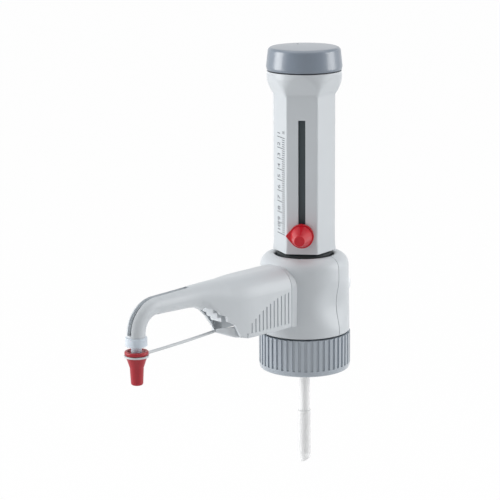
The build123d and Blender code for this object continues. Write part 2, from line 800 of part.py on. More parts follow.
def spout_section(reach, inset=0.0):
    """One section across the spout: an arch at the block, all but a circle at the arm.

    With an inset it is the section of the hollow, which reaches below the walls."""
    arm = arm_radius_at(reach)
    half = half_width_at(reach)
    top = min(boss_top, arm_height + arm)
    bottom = boss_bottom + (arm_height - arm - boss_bottom) * eased(reach, rise_start, rise_end)
    roundest = min(half, (top - bottom) / 2) - fit_gap
    top_corner = boss_corner + (roundest - boss_corner) * eased(reach, taper_start, taper_end)
    top_corner = min(top_corner, roundest)
    bottom_corner = lower_edge + (roundest - lower_edge) * eased(reach, rise_start, rise_end)
    if inset:
        bottom -= 2 * inset
        bottom_corner = lower_edge
    with BuildSketch(spout_plane(reach)) as section:
        with Locations((0, (bottom + top - inset) / 2)):
            Rectangle(2 * (half - inset), top - inset - bottom)
        fillet(section.vertices().group_by(Axis.Y)[-1], top_corner - inset)
        fillet(section.vertices().group_by(Axis.Y)[0], bottom_corner)
    return section.sketch


def stations(start, end, count):
    """Evenly spaced reaches from start to end."""
    return [start + (end - start) * index / (count - 1) for index in range(count)]


def arm_path(start_reach, end_height):
    """The arm's centre line: level, then round the bend and straight down."""
    with BuildLine(Plane.XZ) as path:
        FilletPolyline((-start_reach, arm_height), (-tip_reach, arm_height), (-tip_reach, end_height),
                       radius=arm_bend)
    return path


with BuildPart() as spout_housing:
    outer_reaches = stations(spout_face + run_gap, arm_start - arm_join, outer_sections)
    loft([spout_section(reach) for reach in outer_reaches], ruled=True)
    bend = arm_path(arm_start - 2 * arm_join, arm_end)
    with BuildSketch(spout_plane(arm_start - 2 * arm_join, arm_height)):
        Circle(arm_radius)
    sweep(path=bend.line)
    # hollow, open below
    hollow_reaches = stations(spout_face - arm_join, cavity_end, hollow_sections)
    loft([spout_section(reach, spout_wall) for reach in hollow_reaches], ruled=True, mode=Mode.SUBTRACT)
    # lower outline: smooth on one side, stepped on the other
    lowest = boss_bottom - boss_corner
    for outline, side in ((smooth_outline, 1), (stepped_outline, -1)):
        with BuildSketch(Plane.XZ):
            with BuildLine():
                edge = [(-reach, height) for reach, height in outline]
                first, last = arm_join - spout_face, -cavity_end - 2 * arm_join
                Polyline((first, boss_bottom), *edge, (last, lowest), (first, lowest), close=True)
            make_face()
        extrude(amount=-side * boss_width, mode=Mode.SUBTRACT)
    # bore for the discharge tube, and the slot along the spine of the arm
    bore_path = arm_path(cavity_end - arm_join, arm_end)
    with BuildSketch(spout_plane(cavity_end - arm_join, arm_height)):
        Circle(arm_bore)
    sweep(path=bore_path.line, mode=Mode.SUBTRACT)
    slot_path = arm_path(spine_slot_start, spine_slot_end)
    with BuildSketch(spout_plane(spine_slot_start, arm_height)):
        with Locations((0, arm_radius)):
            Rectangle(spine_slot_width, 2 * arm_bore_wall + arm_join)
    sweep(path=slot_path.line, mode=Mode.SUBTRACT)
    # grip grooves on both sides, their tops on a falling curve
    for side in (-1, 1):
        for index in range(grip_grooves):
            reach = grip_start + index * grip_pitch
            share = (reach - grip_start) / ((grip_grooves - 1) * grip_pitch)
            groove_top = grip_top - grip_fall * share - grip_curve * share ** 2
            height = groove_top - grip_bottom
            with Locations((-reach, side * half_width_at(reach), grip_bottom + height / 2)):
                Box(grip_width, 2 * grip_depth, height, mode=Mode.SUBTRACT)
    with Locations((-slit_reach, -half_width_at(slit_reach), (slit_top + boss_bottom) / 2)):
        Box(slit_width, 3 * spout_wall, slit_top - boss_bottom, mode=Mode.SUBTRACT)
save(spout_housing, "spout_housing")


# ================================================================ discharge valve and tube
valve_ball_reach = valve_seat_reach - port_radius + discharge_ball_radius * math.sqrt(2)
port_plane = spout_plane(0, port_height)

with BuildPart() as discharge_valve_body:
    disc(valve_body_radius, valve_body_start, valve_body_end, port_plane)
    disc(port_radius, valve_body_start, valve_seat_reach, port_plane, mode=Mode.SUBTRACT)
    with BuildSketch(spout_plane(valve_seat_reach, port_height)):
        Circle(port_radius)
    with BuildSketch(spout_plane(valve_seat_reach + valve_chamber_radius - port_radius, port_height)):
        Circle(valve_chamber_radius)
    loft(mode=Mode.SUBTRACT)
    disc(
        valve_chamber_radius, valve_seat_reach + valve_chamber_radius - port_radius, valve_body_end,
        port_plane, mode=Mode.SUBTRACT,
    )
save(discharge_valve_body, "discharge_valve_body")

with BuildPart(spout_plane(valve_ball_reach + fit_gap, port_height)) as discharge_ball:
    Sphere(discharge_ball_radius)
save(discharge_ball, "discharge_ball")

spring_start = valve_ball_reach + discharge_ball_radius + fit_gap + spring_wire
spring_length = valve_body_end - spring_start - spring_wire
with BuildPart() as discharge_spring:
    with BuildLine() as coil:
        Helix(
            pitch=spring_length / spring_turns, height=spring_length, radius=spring_radius,
            center=(-spring_start, 0, port_height), direction=(-1, 0, 0),
        )
    with BuildSketch(Plane(coil.line @ 0, z_dir=coil.line % 0)):
        Circle(spring_wire)
    sweep(path=coil.line)
save(discharge_spring, "discharge_spring")

with BuildPart() as union_nut:
    union_end = valve_body_end + tube_flange + union_end_wall
    prism(union_flats, union_start, union_end, port_plane)
    disc(valve_body_radius + fit_gap, union_start, valve_body_end + tube_flange, port_plane,
         mode=Mode.SUBTRACT)
    disc(tube_radius + fit_gap, union_start, union_end, port_plane, mode=Mode.SUBTRACT)
save(union_nut, "union_nut")


def tube_path():
    """The discharge tube's centre line: out of the valve, up into the arm, and down to the nozzle."""
    with BuildLine(Plane.XZ) as path:
        FilletPolyline(
            (-valve_body_end, port_height),
            (-tube_rise_start, port_height),
            (-tube_rise_end, arm_height),
            (-tip_reach, arm_height),
            (-tip_reach, tube_end_height),
            radius=(tube_rise_bend, tube_rise_bend, arm_bend),
        )
    return path


with BuildPart() as discharge_tube:
    with BuildSketch(spout_plane(valve_body_end, port_height)):
        Circle(tube_radius)
    route = tube_path()
    sweep(path=route.line)
    disc(tube_flange_radius, valve_body_end, valve_body_end + tube_flange, port_plane)
    with BuildSketch(spout_plane(valve_body_end, port_height)):
        Circle(tube_bore)
    sweep(path=route.line, mode=Mode.SUBTRACT)
save(discharge_tube, "discharge_tube")

tip_plane = Plane(origin=(-tip_reach, 0, 0))
tip_axis = Axis((-tip_reach, 0, 0), (0, 0, 1))

with BuildPart() as nozzle:
    disc(nozzle_collar_radius, arm_end - nozzle_collar_length, arm_end, tip_plane)
    fillet(nozzle.edges().filter_by(GeomType.CIRCLE), nozzle_edge)
    disc(nozzle_radius, nozzle_end, arm_end - nozzle_collar_length, tip_plane)
    disc(tube_radius + fit_gap, tube_end_height, arm_end, tip_plane, mode=Mode.SUBTRACT)
    disc(nozzle_bore, nozzle_end, tube_end_height, tip_plane, mode=Mode.SUBTRACT)
save(nozzle, "nozzle")

with BuildPart() as spout_insert:
    with BuildSketch(Plane.XZ):
        with BuildLine():
            Polyline(*[(-reach, height) for reach, height in insert_outline], close=True)
        make_face()
    insert_half = half_width_at(insert_outline[0][0]) - spout_wall - run_gap
    extrude(amount=insert_half, both=True)
save(spout_insert, "spout_insert")


# ================================================================ spout cap and strap
with BuildPart() as spout_cap:
    rim_low = spout_cap_top - spout_cap_rim_height
    groove_bottom = rim_low - spout_cap_groove
    cap_floor = nozzle_end - run_gap
    turned([
        (0, spout_cap_bottom),
        (spout_cap_foot, spout_cap_bottom),
        (spout_cap_waist, spout_cap_waist_height),
        (spout_cap_rim - spout_cap_shoulder, groove_bottom - spout_cap_shoulder_height),
        (spout_cap_rim - spout_cap_lip, groove_bottom),
        (spout_cap_neck, groove_bottom),
        (spout_cap_neck, rim_low),
        (spout_cap_rim, rim_low),
        (spout_cap_rim, spout_cap_top),
        (0, spout_cap_top),
    ], tip_axis)
    ends = spout_cap.edges().filter_by(GeomType.CIRCLE).sort_by(Axis.Z)
    fillet(ends[0], spout_cap_foot_edge)
    fillet(spout_cap.edges().filter_by(GeomType.CIRCLE).sort_by(Axis.Z)[-2:], spout_cap_rim_edge)
    turned([
        (0, cap_floor),
        (nozzle_radius + run_gap, cap_floor),
        (nozzle_radius + run_gap, spout_cap_top - spout_cap_mouth_depth),
        (spout_cap_mouth, spout_cap_top),
        (0, spout_cap_top),
    ], tip_axis, mode=Mode.SUBTRACT)
save(spout_cap, "spout_cap")

strap_height = rim_low - spout_cap_groove / 2
strap_low = strap_height - strap_thickness / 2
strap_ring_radius = spout_cap_neck + fit_gap + strap_ring_wall
with BuildPart() as strap_ring:
    disc(strap_ring_radius, strap_low, strap_low + strap_thickness, tip_plane)
    disc(spout_cap_neck + fit_gap, strap_low, strap_low + strap_thickness, tip_plane, mode=Mode.SUBTRACT)
save(strap_ring, "strap_ring")

clip_half = half_width_at(clip_end) - spout_wall - run_gap
with BuildPart() as strap_clip:
    with BuildSketch(Plane.XZ):
        with BuildLine():
            low_start = (-clip_start, clip_bottom)
            low_end = (-clip_end, clip_bottom + clip_lift)
            high_start = (-clip_start, clip_bottom + clip_thickness)
            high_end = (-clip_end, clip_bottom + clip_lift + clip_thickness)
            middle = -(clip_start + clip_end) / 2 - clip_bulge
            ThreePointArc(low_start, (middle, clip_bottom + clip_lift / 4), low_end)
            Line(low_end, high_end)
            ThreePointArc(high_end, (middle, clip_bottom + clip_lift / 4 + clip_thickness), high_start)
            Line(high_start, low_start)
        make_face()
    extrude(amount=clip_half, both=True)
save(strap_clip, "strap_clip")

strap_start = (-tip_reach + strap_ring_radius + fit_gap + strap_bar / 2, 0, strap_height)
strap_stop = (-clip_end - fit_gap, 0, clip_bottom + clip_lift + clip_thickness / 2)
with BuildPart() as strap_arm:
    with BuildLine() as strap_line:
        Line(strap_start, strap_stop)
    with BuildSketch(Plane(strap_start, z_dir=strap_line.line % 0)):
        Circle(strap_bar)
    sweep(path=strap_line.line)
save(strap_arm, "strap_arm")
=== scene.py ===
import json
import math

import bmesh
import bpy
from mathutils import Matrix, Vector

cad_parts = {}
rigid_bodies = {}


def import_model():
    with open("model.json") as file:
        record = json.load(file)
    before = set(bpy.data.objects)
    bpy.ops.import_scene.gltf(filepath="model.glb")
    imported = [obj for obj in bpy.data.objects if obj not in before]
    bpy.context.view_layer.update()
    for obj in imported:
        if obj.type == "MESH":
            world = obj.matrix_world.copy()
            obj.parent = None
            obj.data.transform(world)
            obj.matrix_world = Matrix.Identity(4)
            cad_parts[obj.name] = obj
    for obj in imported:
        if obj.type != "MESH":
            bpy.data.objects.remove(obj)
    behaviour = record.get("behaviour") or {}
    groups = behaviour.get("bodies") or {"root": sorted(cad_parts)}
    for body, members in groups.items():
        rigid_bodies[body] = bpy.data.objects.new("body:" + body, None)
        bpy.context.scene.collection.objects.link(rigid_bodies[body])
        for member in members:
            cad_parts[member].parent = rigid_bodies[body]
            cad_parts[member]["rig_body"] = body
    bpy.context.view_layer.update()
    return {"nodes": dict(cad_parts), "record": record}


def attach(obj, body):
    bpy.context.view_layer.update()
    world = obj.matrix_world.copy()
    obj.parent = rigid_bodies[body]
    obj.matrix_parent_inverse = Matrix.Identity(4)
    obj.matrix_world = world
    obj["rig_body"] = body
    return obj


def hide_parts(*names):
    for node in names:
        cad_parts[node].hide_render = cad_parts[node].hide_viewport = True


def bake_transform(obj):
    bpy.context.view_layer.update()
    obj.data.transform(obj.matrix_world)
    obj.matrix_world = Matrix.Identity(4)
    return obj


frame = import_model()
MM = 0.001

# ---------------------------------------------------------------- camera
FRAME_PIXELS = 500
FOCAL_PIXELS = 2017.0
SENSOR = 36.0
AZIMUTH = math.radians(-45.0)
ELEVATION = math.radians(12.8)
DISTANCE = 1.20413
AXIS_COLUMN = 304.4  # the column of the picture in which the piston axis stands
AXIS_HEIGHT = 0.07164  # the height on the axis that is level with the picture's middle
ROLL = math.radians(-0.40)
CLIP = 0.05, 50.0

back = Vector((math.sin(AZIMUTH) * math.cos(ELEVATION), -math.cos(AZIMUTH) * math.cos(ELEVATION),
               math.sin(ELEVATION)))
right = Vector((math.cos(AZIMUTH), math.sin(AZIMUTH), 0.0))
shift = (AXIS_COLUMN - FRAME_PIXELS / 2) * DISTANCE / FOCAL_PIXELS
aim = Vector((0.0, 0.0, AXIS_HEIGHT)) - right * shift
camera_data = bpy.data.cameras.new("camera")
camera_data.sensor_width = SENSOR
camera_data.lens = FOCAL_PIXELS * SENSOR / FRAME_PIXELS
camera_data.clip_start, camera_data.clip_end = CLIP
camera = bpy.data.objects.new("camera", camera_data)
bpy.context.scene.collection.objects.link(camera)
up = back.cross(right)
turn = Matrix((right, up, back)).transposed().to_4x4()
camera.matrix_world = Matrix.Translation(aim + back * DISTANCE) @ turn @ Matrix.Rotation(ROLL, 4, "Z")
bpy.context.scene.camera = camera
bpy.context.scene.view_settings.view_transform = "Standard"


# ---------------------------------------------------------------- light, backdrop and floor
def node_tree(block):
    block.use_nodes = True
    block.node_tree.nodes.clear()
    return block.node_tree


def seen_directly(tree):
    """1 for what the camera sees straight, in a reflection or through glass; 0 for what only lights."""
    rays = tree.nodes.new("ShaderNodeLightPath")
    first = tree.nodes.new("ShaderNodeMath")
    first.operation = "MAXIMUM"
    second = tree.nodes.new("ShaderNodeMath")
    second.operation = "MAXIMUM"
    tree.links.new(rays.outputs["Is Camera Ray"], first.inputs[0])
    tree.links.new(rays.outputs["Is Glossy Ray"], first.inputs[1])
    tree.links.new(first.outputs[0], second.inputs[0])
    tree.links.new(rays.outputs["Is Transmission Ray"], second.inputs[1])
    return second.outputs[0]


WORLD_LEVEL = 0.24
WORLD_TINT = (0.97, 0.985, 1.0, 1.0)
WHITE = (1.0, 1.0, 1.0, 1.0)
world = bpy.data.worlds.new("studio")
bpy.context.scene.world = world
tree = node_tree(world)
ambient = tree.nodes.new("ShaderNodeBackground")
ambient.inputs["Color"].default_value = WORLD_TINT
ambient.inputs["Strength"].default_value = WORLD_LEVEL
white = tree.nodes.new("ShaderNodeBackground")
white.inputs["Color"].default_value = WHITE
white.inputs["Strength"].default_value = 1.0
choose = tree.nodes.new("ShaderNodeMixShader")
out = tree.nodes.new("ShaderNodeOutputWorld")
tree.links.new(seen_directly(tree), choose.inputs[0])
tree.links.new(ambient.outputs[0], choose.inputs[1])
tree.links.new(white.outputs[0], choose.inputs[2])
tree.links.new(choose.outputs[0], out.inputs[0])

FLOOR_HEIGHT = -0.150  # where a bottle under the collar would stand
FLOOR_SIZE = 12.0
FLOOR_PAINT = (0.86, 0.86, 0.86, 1.0)
FLOOR_WHITE = 0.975  # the share of white that the camera sees; the rest is the painted floor
bpy.ops.mesh.primitive_plane_add(size=FLOOR_SIZE, location=(0.0, 0.0, FLOOR_HEIGHT))
floor = bpy.context.object
floor.name = "floor"
paint = bpy.data.materials.new("floor")
tree = node_tree(paint)
matt = tree.nodes.new("ShaderNodeBsdfDiffuse")
matt.inputs["Color"].default_value = FLOOR_PAINT
glow = tree.nodes.new("ShaderNodeEmission")
glow.inputs["Strength"].default_value = 1.0
share = tree.nodes.new("ShaderNodeMath")
share.operation = "MULTIPLY"
share.inputs[1].default_value = FLOOR_WHITE
choose = tree.nodes.new("ShaderNodeMixShader")
out = tree.nodes.new("ShaderNodeOutputMaterial")
tree.links.new(seen_directly(tree), share.inputs[0])
tree.links.new(share.outputs[0], choose.inputs[0])
tree.links.new(matt.outputs[0], choose.inputs[1])
tree.links.new(glow.outputs[0], choose.inputs[2])
tree.links.new(choose.outputs[0], out.inputs[0])
floor.data.materials.append(paint)


BOX_ELEVATION = math.radians(12.0)
BOX_DISTANCE = 1.3
BOX_SIZE = 0.7, 1.1
BOX_AIM = Vector((0.0, 0.0, 0.08))


def softbox(name, azimuth, power):
    """A soft lamp at a compass angle in degrees about the object's axis (0 is +X), aimed at its middle."""
    lamp = bpy.data.lights.new(name, "AREA")
    lamp.shape = "RECTANGLE"
    lamp.size, lamp.size_y = BOX_SIZE
    lamp.energy = power
    holder = bpy.data.objects.new(name, lamp)
    a, e = math.radians(azimuth), BOX_ELEVATION
    offset = Vector((math.cos(a) * math.cos(e), math.sin(a) * math.cos(e), math.sin(e)))
    holder.location = BOX_AIM + offset * BOX_DISTANCE
    holder.rotation_euler = offset.to_track_quat("Z", "Y").to_euler()
    bpy.context.scene.collection.objects.link(holder)


softbox("left_softbox", 138.0, 13.3)
softbox("right_softbox", 314.0, 9.3)

OVERHEAD_STRENGTH = 1.25
OVERHEAD_SPREAD = math.radians(80.0)
overhead = bpy.data.lights.new("overhead", "SUN")
overhead.energy = OVERHEAD_STRENGTH
overhead.angle = OVERHEAD_SPREAD
bpy.context.scene.collection.objects.link(bpy.data.objects.new("overhead", overhead))


# ---------------------------------------------------------------- materials
CLOUD_SCALE, CLOUD_DETAIL = 55.0, 4.0  # clouding of the colour, per metre
CLOUD_FROM, CLOUD_TO = 0.3, 0.7
GLOSS_SPREAD, GLOSS_LEAST = 0.04, 0.02
GRAIN_PITCH, GRAIN_DETAIL, GRAIN_DEPTH = 0.00035, 2.0, 0.0002  # the mould's grain, in metres
COAT_ROUGHNESS = 0.15
SCATTER_RADIUS, SCATTER_SCALE = (1.0, 1.0, 1.0), 0.0015


def plastic(name, color, roughness, grain_height=0.03, mottle=0.03, coat=0.0, subsurface=0.0,
            transmission=0.0, specular=0.5):
    """A moulded plastic: fine grain in the surface, faint clouding of the colour and gloss."""
    material = bpy.data.materials.new(name)
    tree = node_tree(material)
    link = tree.links.new
    shader = tree.nodes.new("ShaderNodeBsdfPrincipled")
    out = tree.nodes.new("ShaderNodeOutputMaterial")
    link(shader.outputs[0], out.inputs[0])
    place = tree.nodes.new("ShaderNodeTexCoord")

    cloud = tree.nodes.new("ShaderNodeTexNoise")
    cloud.inputs["Scale"].default_value = CLOUD_SCALE
    cloud.inputs["Detail"].default_value = CLOUD_DETAIL
    link(place.outputs["Object"], cloud.inputs["Vector"])
    tint = tree.nodes.new("ShaderNodeValToRGB")
    tint.color_ramp.elements[0].position = CLOUD_FROM
    tint.color_ramp.elements[1].position = CLOUD_TO
    low = [c * (1.0 - mottle) for c in color]
    high = [min(1.0, c * (1.0 + mottle)) for c in color]
    tint.color_ramp.elements[0].color = (*low, 1.0)
    tint.color_ramp.elements[1].color = (*high, 1.0)
    link(cloud.outputs["Fac"], tint.inputs["Fac"])
    link(tint.outputs["Color"], shader.inputs["Base Color"])

    gloss = tree.nodes.new("ShaderNodeMapRange")
    gloss.inputs["To Min"].default_value = max(GLOSS_LEAST, roughness - GLOSS_SPREAD)
    gloss.inputs["To Max"].default_value = roughness + GLOSS_SPREAD
    link(cloud.outputs["Fac"], gloss.inputs["Value"])
    link(gloss.outputs["Result"], shader.inputs["Roughness"])

    pores = tree.nodes.new("ShaderNodeTexNoise")
    pores.inputs["Scale"].default_value = 1.0 / GRAIN_PITCH
    pores.inputs["Detail"].default_value = GRAIN_DETAIL
    link(place.outputs["Object"], pores.inputs["Vector"])
    bump = tree.nodes.new("ShaderNodeBump")
    bump.inputs["Strength"].default_value = grain_height
    bump.inputs["Distance"].default_value = GRAIN_DEPTH
    link(pores.outputs["Fac"], bump.inputs["Height"])
    link(bump.outputs["Normal"], shader.inputs["Normal"])

    shader.inputs["Specular IOR Level"].default_value = specular
    shader.inputs["Coat Weight"].default_value = coat
    shader.inputs["Coat Roughness"].default_value = COAT_ROUGHNESS
    shader.inputs["Subsurface Weight"].default_value = subsurface
    shader.inputs["Subsurface Radius"].default_value = SCATTER_RADIUS
    shader.inputs["Subsurface Scale"].default_value = SCATTER_SCALE
    shader.inputs["Transmission Weight"].default_value = transmission
    return material


def srgb(r, g, b):
    """A linear colour from a colour as a screen shows it, 0 to 255."""
    return tuple((c / 255 / 12.92) if c <= 10 else ((c / 255 + 0.055) / 1.055) ** 2.4 for c in (r, g, b))


LOOKS = {
    "housing_grey": plastic("housing_grey", srgb(202, 207, 211), 0.38, mottle=0.012),
    "slate_grey": plastic("slate_grey", srgb(112, 125, 142), 0.33, mottle=0.02),
    "signal_red": plastic("signal_red", srgb(194, 6, 30), 0.30, mottle=0.03, specular=0.4),
    "black_plastic": plastic("black_plastic", srgb(40, 48, 51), 0.45, mottle=0.05),
    "natural_white": plastic("natural_white", srgb(236, 240, 243), 0.32, mottle=0.015, subsurface=0.25),
    "seal_rubber": plastic("seal_rubber", srgb(214, 214, 208), 0.6, mottle=0.03),
    "clear_glass": plastic("clear_glass", (1.0, 1.0, 1.0), 0.03, transmission=1.0, grain_height=0.0,
                           mottle=0.0),
    "spring_steel": plastic("spring_steel", srgb(176, 178, 180), 0.25, mottle=0.03),
}
LOOKS["spring_steel"].node_tree.nodes["Principled BSDF"].inputs["Metallic"].default_value = 1.0
FROSTED = plastic("frosted_polymer", srgb(224, 234, 244), 0.30, mottle=0.01, transmission=0.2,
                  subsurface=0.3)
TUBE_WHITE = plastic("tube_white", srgb(254, 255, 255), 0.25, mottle=0.0, subsurface=0.5, specular=0.9)
# the collar's slate grey painted lighter: painted light, standing in for light bouncing up onto the collar
# from below
COLLAR_LIT_SLATE = plastic("collar_lit_slate", srgb(155, 165, 175), 0.30, mottle=0.02, specular=1.0, coat=0.8)
CAP_GREY = plastic("cap_grey", srgb(105, 118, 133), 0.34, mottle=0.02, specular=1.0, coat=0.35)
CAP_RED = plastic("cap_red", srgb(166, 14, 34), 0.34, mottle=0.03)
# white darkened as painted shade of the spout's dim inside; also used for the strap's clip and tray
SHADED_INSERT_WHITE = plastic("shaded_insert_white", srgb(212, 217, 221), 0.36, mottle=0.015)
STRAP_WHITE = plastic("strap_white", srgb(204, 208, 211), 0.4, mottle=0.015)
TRACK_BLACK = plastic("track_black", srgb(67, 79, 84), 0.45, mottle=0.04)
# the coupling nut's own black, darkened further as painted shade of the recess at the block's top
SHADED_NUT_BLACK = plastic("shaded_nut_black", srgb(22, 29, 33), 0.5, mottle=0.04)
PRINT = plastic("scale_print", srgb(66, 73, 83), 0.5, mottle=0.04)
OWN_LOOK = {
    "thread_collar": COLLAR_LIT_SLATE,
    "top_cap": CAP_GREY,
    "spout_cap": CAP_RED,
    "spout_insert": SHADED_INSERT_WHITE,
    "strap_clip": SHADED_INSERT_WHITE,
    "strap_ring": STRAP_WHITE,
    "guide_tube": TRACK_BLACK,
    "coupling_nut": SHADED_NUT_BLACK,
    "nozzle": FROSTED,
    "filling_tube_upper": TUBE_WHITE,
    "filling_tube_lower": TUBE_WHITE,
}

for part in frame["record"]["subparts"]:
    shown = frame["nodes"][part["node"]]
    shown.data.materials.clear()
    shown.data.materials.append(OWN_LOOK.get(part["node"], LOOKS[part["material_slot"]]))


# ---------------------------------------------------------------- helpers for pieces
def put(name, vertices, faces, material, body):
    """A piece from vertices in millimetres and faces, riding on a body."""
    mesh = bpy.data.meshes.new(name)
    mesh.from_pydata([(x * MM, y * MM, z * MM) for x, y, z in vertices], [], faces)
    work = bmesh.new()
    work.from_mesh(mesh)
    bmesh.ops.recalc_face_normals(work, faces=work.faces)
    work.to_mesh(mesh)
    work.free()
    mesh.materials.append(material)
    piece = bpy.data.objects.new(name, mesh)
    bpy.context.scene.collection.objects.link(piece)
    if body:
        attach(piece, body)
    return piece


def shade(piece, angle):
    """Smooth shading, with a sharp edge wherever the surface turns by more than angle, in degrees."""
    piece.data.shade_smooth()
    piece.data.set_sharp_from_angle(angle=math.radians(angle))


def tube_faces(rings, count):
    """Faces that join rings of count vertices each, one after the other, and close both ends."""
    faces = []
    for ring in range(rings - 1):
        for k in range(count):
            a, b = ring * count + k, ring * count + (k + 1) % count
            faces.append((a, b, b + count, a + count))
    return faces + [tuple(range(count)), tuple(range((rings - 1) * count, rings * count))]


SOFT_JOIN = 0.002  # vertices closer than this are one
SOFT_SHARP = math.radians(35.0)  # an edge sharper than this is rounded
SOFT_STEPS = 3
FLAT, FLAT_SWEPT = math.radians(0.5), math.radians(0.02)  # faces closer than this merge into one


def soften(node, width, flat):
    """The moulding's own shape with its sharp edges rounded, as a mould leaves them."""
    solid = frame["nodes"][node]
    mesh = solid.data.copy()
    mesh.name = node + "_moulding"
    work = bmesh.new()
    work.from_mesh(mesh)
    bmesh.ops.remove_doubles(work, verts=work.verts, dist=SOFT_JOIN * MM)
    bmesh.ops.dissolve_limit(work, angle_limit=flat, verts=work.verts, edges=work.edges)
    for face in work.faces:
        face.smooth = True
    work.to_mesh(mesh)
    work.free()
    piece = bpy.data.objects.new(node + "_moulding", mesh)
    bpy.context.scene.collection.objects.link(piece)
    bevel = piece.modifiers.new("edge", "BEVEL")
    bevel.width = width * MM
    bevel.segments = SOFT_STEPS
    bevel.limit_method = "ANGLE"
    bevel.angle_limit = SOFT_SHARP
    bevel.use_clamp_overlap = True
    bevel.harden_normals = False
    even = piece.modifiers.new("even", "WEIGHTED_NORMAL")
    even.keep_sharp = True
    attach(piece, solid["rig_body"])
    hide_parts(node)


for soft_node, edge in {
    "top_cap": 0.25, "pointer": 0.45, "pointer_knob": 0.3, "spout_cap": 0.25, "thread_collar": 0.22,
    "housing_sleeve": 0.3, "nozzle": 0.25, "spout_housing": 0.3, "vent_cap": 0.25,
}.items():
    soften(soft_node, edge, FLAT_SWEPT if soft_node == "spout_housing" else FLAT)


# ---------------------------------------------------------------- housing of the block
SEAM_FRONT = 1.5  # where the two mouldings end, along X
SEAM_REAR = 1.9
WALL = 2.2
FOOT_RADIUS, FOOT_HEIGHT = 27.1, 23.2
SHOULDER_RADIUS, TOP_HEIGHT = 26.4, 70.2
SHOULDER = 7.0
OPENING, OPENING_EDGE, OPENING_DEPTH = 17.5, 1.6, 7.0
DENT_DEPTH, DENT_REACH, DENT_X, DENT_HEIGHT = 2.4, 16.0, -1.0, 42.0
FOOT_EDGE, FOOT_STEPS = 0.6, 3
ROUND_STEPS = 10
COVER_ROWS, COVER_COLUMNS = 44, 96
SHADE_MOULDING = 40.0


def arc(centre, radius, start, end, steps):
    """Points (radius, height) along a circular arc between two angles in degrees."""
    turns = [math.radians(start + (end - start) * k / steps) for k in range(steps + 1)]
    return [(centre[0] + radius * math.cos(a), centre[1] + radius * math.sin(a)) for a in turns]


def cover_profile():
    """The housing's wall in section, a closed loop: up the outside, over the top and down the inside."""
    low, high = FOOT_HEIGHT + FOOT_EDGE, TOP_HEIGHT - SHOULDER
    loop = arc((FOOT_RADIUS - FOOT_EDGE, low), FOOT_EDGE, -90, 0, FOOT_STEPS)
    for k in range(1, COVER_ROWS):
        share = k / COVER_ROWS
        loop.append((FOOT_RADIUS + (SHOULDER_RADIUS - FOOT_RADIUS) * share, low + (high - low) * share))
    loop += arc((SHOULDER_RADIUS - SHOULDER, high), SHOULDER, 0, 90, ROUND_STEPS)
    loop += arc((OPENING + OPENING_EDGE, TOP_HEIGHT - OPENING_EDGE), OPENING_EDGE, 90, 180, ROUND_STEPS)[1:]
    loop.append((OPENING, TOP_HEIGHT - OPENING_DEPTH))
    loop.append((OPENING + WALL, TOP_HEIGHT - OPENING_DEPTH))
    loop.append((SHOULDER_RADIUS - WALL, high - WALL))
    for k in range(COVER_ROWS - 1, 0, -1):
        share = k / COVER_ROWS
        loop.append((FOOT_RADIUS - WALL + (SHOULDER_RADIUS - FOOT_RADIUS) * share,
                     low + (high - WALL - low) * share))
    loop.append((FOOT_RADIUS - WALL, FOOT_HEIGHT))
    return loop


def dent(x, height):
    """How far a finger dimple draws the wall in at a place, 0 to DENT_DEPTH."""
    away = math.hypot(x - DENT_X, height - DENT_HEIGHT) / DENT_REACH
    return DENT_DEPTH * (1.0 - away * away) ** 2 if away < 1.0 else 0.0


def cover(name, node, side, seam):
    """One half of the housing: side -1 is the front, towards the spout, and 1 the rear."""
    loop = cover_profile()
    vertices = []
    for column in range(COVER_COLUMNS + 1):
        for radius, height in loop:
            first = math.acos(seam / radius)
            sweep = 2 * (math.pi - first) if side < 0 else -2 * first
            angle = first + sweep * column / COVER_COLUMNS
            inward = dent(radius * math.cos(angle), height)
            reach = radius - inward * abs(math.sin(angle))
            vertices.append((reach * math.cos(angle), reach * math.sin(angle), height))
    faces = tube_faces(COVER_COLUMNS + 1, len(loop))
    piece = put(name, vertices, faces, LOOKS["housing_grey"], "valve_block")
    shade(piece, SHADE_MOULDING)
    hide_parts(node)


cover("front_moulding", "front_cover", -1, SEAM_FRONT)
cover("rear_moulding", "rear_cover", 1, SEAM_REAR)

# the arched face that the spout housing stands against
FACE_WIDTH, FACE_BOTTOM, FACE_TOP, FACE_CORNER = 30.0, 31.5, 66.5, 12.0
FACE_REACH, FACE_START, FACE_EDGE, FACE_ROUNDING = 26.5, 21.0, 0.35, 0.3
FACE_STEPS = 16


def arch_outline(inset):
    """The arch as (y, height) points, anticlockwise from its lower right corner."""
    half, top = FACE_WIDTH / 2 - inset, FACE_TOP - inset
    corner = FACE_CORNER - inset
    points = [(-half, FACE_BOTTOM + inset), (half, FACE_BOTTOM + inset)]
    points += arc((half - corner, top - corner), corner, 0, 90, FACE_STEPS)
    points += arc((corner - half, top - corner), corner, 90, 180, FACE_STEPS)
    return points


rings = [(FACE_START, 0.0), (FACE_REACH - FACE_EDGE, 0.0),
         (FACE_REACH - FACE_ROUNDING * FACE_EDGE, FACE_ROUNDING * FACE_EDGE), (FACE_REACH, FACE_EDGE)]
vertices = [(-reach, y, height) for reach, inset in rings for y, height in arch_outline(inset)]
faces = tube_faces(len(rings), len(arch_outline(0.0)))
face_plate = put("spout_face", vertices, faces, LOOKS["housing_grey"], "valve_block")
shade(face_plate, SHADE_MOULDING)

